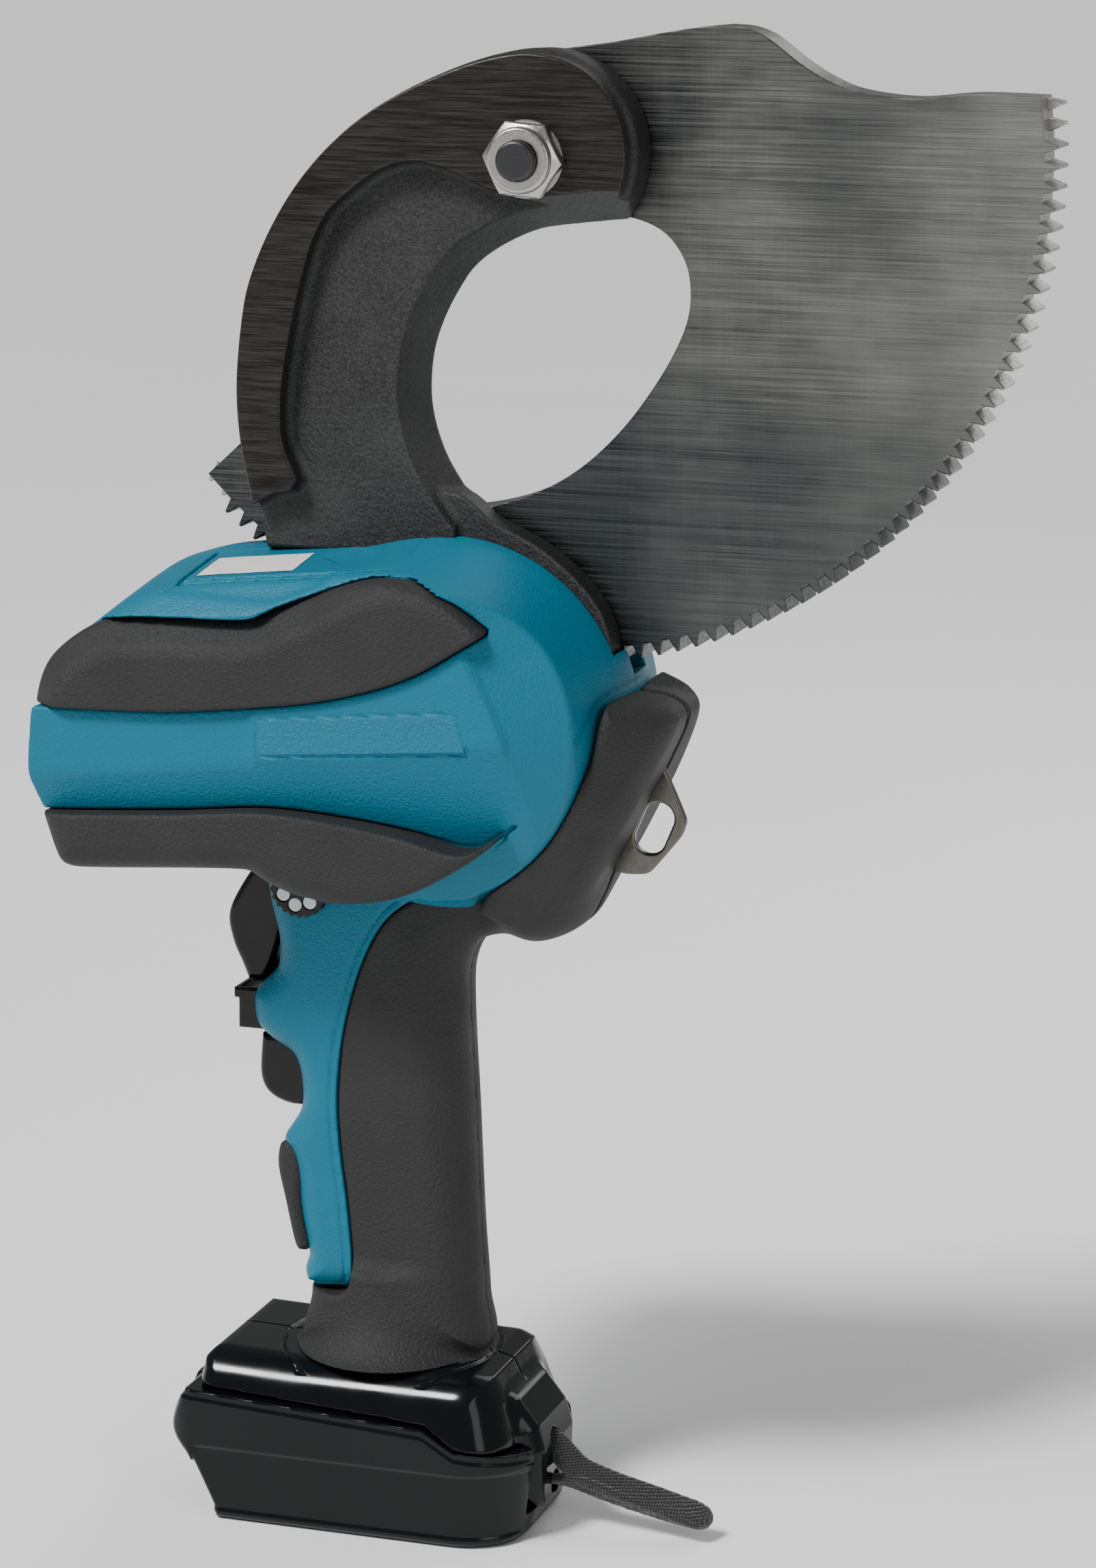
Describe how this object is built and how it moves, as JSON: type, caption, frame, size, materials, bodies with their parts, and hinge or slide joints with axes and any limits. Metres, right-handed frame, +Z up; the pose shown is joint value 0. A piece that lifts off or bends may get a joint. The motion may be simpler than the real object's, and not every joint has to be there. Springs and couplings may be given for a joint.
{
  "type": "cordless cable cutter",
  "caption": "Cordless rescue cutter: a toothed crescent blade swings past a fixed hooked jaw, driven from a gear case on a pistol grip with a slide-on battery.",
  "frame": {"origin": "middle of the underside of the battery, in the plane where the two jaws shear", "axes": "+X towards the back of the tool, +Y towards its right side, +Z up along the handle"},
  "size_m": [0.3008, 0.12, 0.469],
  "materials": {
    "teal_plastic": "fine-grained moulded plastic",
    "soft_grip": "fine-grained soft overmould",
    "lens": "clear lens",
    "zinc_steel": "zinc plated, faintly gold",
    "bright_steel": "turned and plated",
    "cast_jaw": "sand-textured with a ground rim and edge",
    "blade_steel": "ground flat, cross-hatched",
    "dark_steel": "blackened",
    "bronze": "sintered bronze",
    "gear_steel": "hobbed, oiled",
    "bearing_steel": "polished rings",
    "cast_alloy": "die cast",
    "motor_steel": "drawn and pressed steel",
    "magnet": "sintered magnet",
    "windings": "enamelled copper on a laminated core",
    "black_plastic": "smooth black plastic",
    "board": "printed circuit board",
    "leads": "insulated leads",
    "cells": "sleeved cells",
    "webbing": "woven webbing"
  },
  "bodies": {
    "root": {"housing_left": "teal_plastic", "housing_right": "teal_plastic", "top_cover": "teal_plastic", "nameplate": "teal_plastic", "led_lens": "lens", "bumper_upper_left": "soft_grip", "bumper_upper_right": "soft_grip", "bumper_lower_left": "soft_grip", "bumper_lower_right": "soft_grip", "grip_left": "soft_grip", "grip_right": "soft_grip", "front_pad": "soft_grip", "hook_plate": "zinc_steel", "hook_screws": "zinc_steel", "housing_screws": "bright_steel", "fixed_jaw": "cast_jaw", "jaw_bolts": "bright_steel", "pivot_bolt": "dark_steel", "pivot_washer": "bright_steel", "pivot_nut": "bright_steel", "pinion_bearings": "bearing_steel", "idler_bearings": "bearing_steel", "gear_plate_left": "cast_alloy", "gear_plate_right": "cast_alloy", "plate_spacers": "bright_steel", "motor_can": "motor_steel", "motor_magnets": "magnet", "motor_end_bell": "motor_steel", "motor_bearings": "bearing_steel", "motor_bracket": "motor_steel", "switch_body": "black_plastic", "control_board": "board", "lead_wires": "leads", "trigger_spring": "bright_steel", "upper_spring": "bright_steel", "trigger_pin": "bright_steel", "foot_left": "black_plastic", "foot_right": "black_plastic", "terminal_block": "black_plastic", "wrist_strap": "webbing"},
    "blade": {"moving_blade": "blade_steel", "blade_stop_pin": "dark_steel", "pivot_bush": "bronze"},
    "pinion": {"drive_pinion": "gear_steel", "spur_gear": "gear_steel"},
    "idler": {"idler_shaft": "gear_steel", "bevel_gear": "gear_steel"},
    "rotor": {"motor_rotor": "windings", "motor_fan": "black_plastic", "bevel_pinion": "gear_steel"},
    "lower_trigger": {"lower_trigger": "black_plastic"},
    "upper_trigger": {"upper_trigger": "black_plastic"},
    "lock": {"lock_slide": "black_plastic"},
    "dial": {"mode_dial": "black_plastic"},
    "battery": {"battery_case": "black_plastic", "battery_cover": "black_plastic", "battery_cells": "cells", "latch_spring": "bright_steel"},
    "latch": {"latch_button": "black_plastic"}
  },
  "joints": [
    {"name": "blade_swing", "type": "hinge", "parent": "root", "child": "blade", "pos_m": [0.051, 0, 0.43], "axis": [0, 1, 0], "range_deg": [-85, 96]},
    {"name": "pinion_spin", "type": "hinge", "parent": "root", "child": "pinion", "pos_m": [0.0325, 0, 0.26765], "axis": [0, 1, 0], "range_deg": [-1285, 1140]},
    {"name": "idler_spin", "type": "hinge", "parent": "root", "child": "idler", "pos_m": [-0.00189, 0, 0.2527], "axis": [0, 1, 0], "range_deg": [-4540, 5125]},
    {"name": "rotor_spin", "type": "hinge", "parent": "root", "child": "rotor", "pos_m": [-0.00189, 0, 0.2527], "axis": [0.9976, 0, 0.0698], "range_deg": [-4540, 5125]},
    {"name": "lower_trigger_pull", "type": "slide", "parent": "root", "child": "lower_trigger", "axis": [1, 0, 0], "range_m": [0, 0.006], "stiffness_N_per_m": 500, "springref_m": -0.004, "deforming": ["trigger_spring"]},
    {"name": "upper_trigger_pull", "type": "hinge", "parent": "root", "child": "upper_trigger", "pos_m": [-0.034, 0, 0.205], "axis": [0, -1, 0], "range_deg": [0, 8], "stiffness_Nm_per_rad": 1, "springref_deg": -8.59, "deforming": ["upper_spring"]},
    {"name": "lock_push", "type": "slide", "parent": "root", "child": "lock", "axis": [0, 1, 0], "range_m": [0, 0.004]},
    {"name": "dial_turn", "type": "hinge", "parent": "root", "child": "dial", "pos_m": [-0.02, 0, 0.205], "axis": [0, 1, 0], "range_deg": [0, 240]},
    {"name": "battery_slide", "type": "slide", "parent": "root", "child": "battery", "axis": [-1, 0, 0], "range_m": [0, 0.08]},
    {"name": "latch_press", "type": "slide", "parent": "battery", "child": "latch", "axis": [0, 0, -1], "range_m": [0, 0.003], "stiffness_N_per_m": 300, "springref_m": -0.004, "deforming": ["latch_spring"]}
  ],
  "couplings": [
    {"joint": "pinion_spin", "follows": "blade_swing", "ratio": -13.333},
    {"joint": "idler_spin", "follows": "blade_swing", "ratio": 53.333},
    {"joint": "rotor_spin", "follows": "blade_swing", "ratio": 53.333}
  ]
}
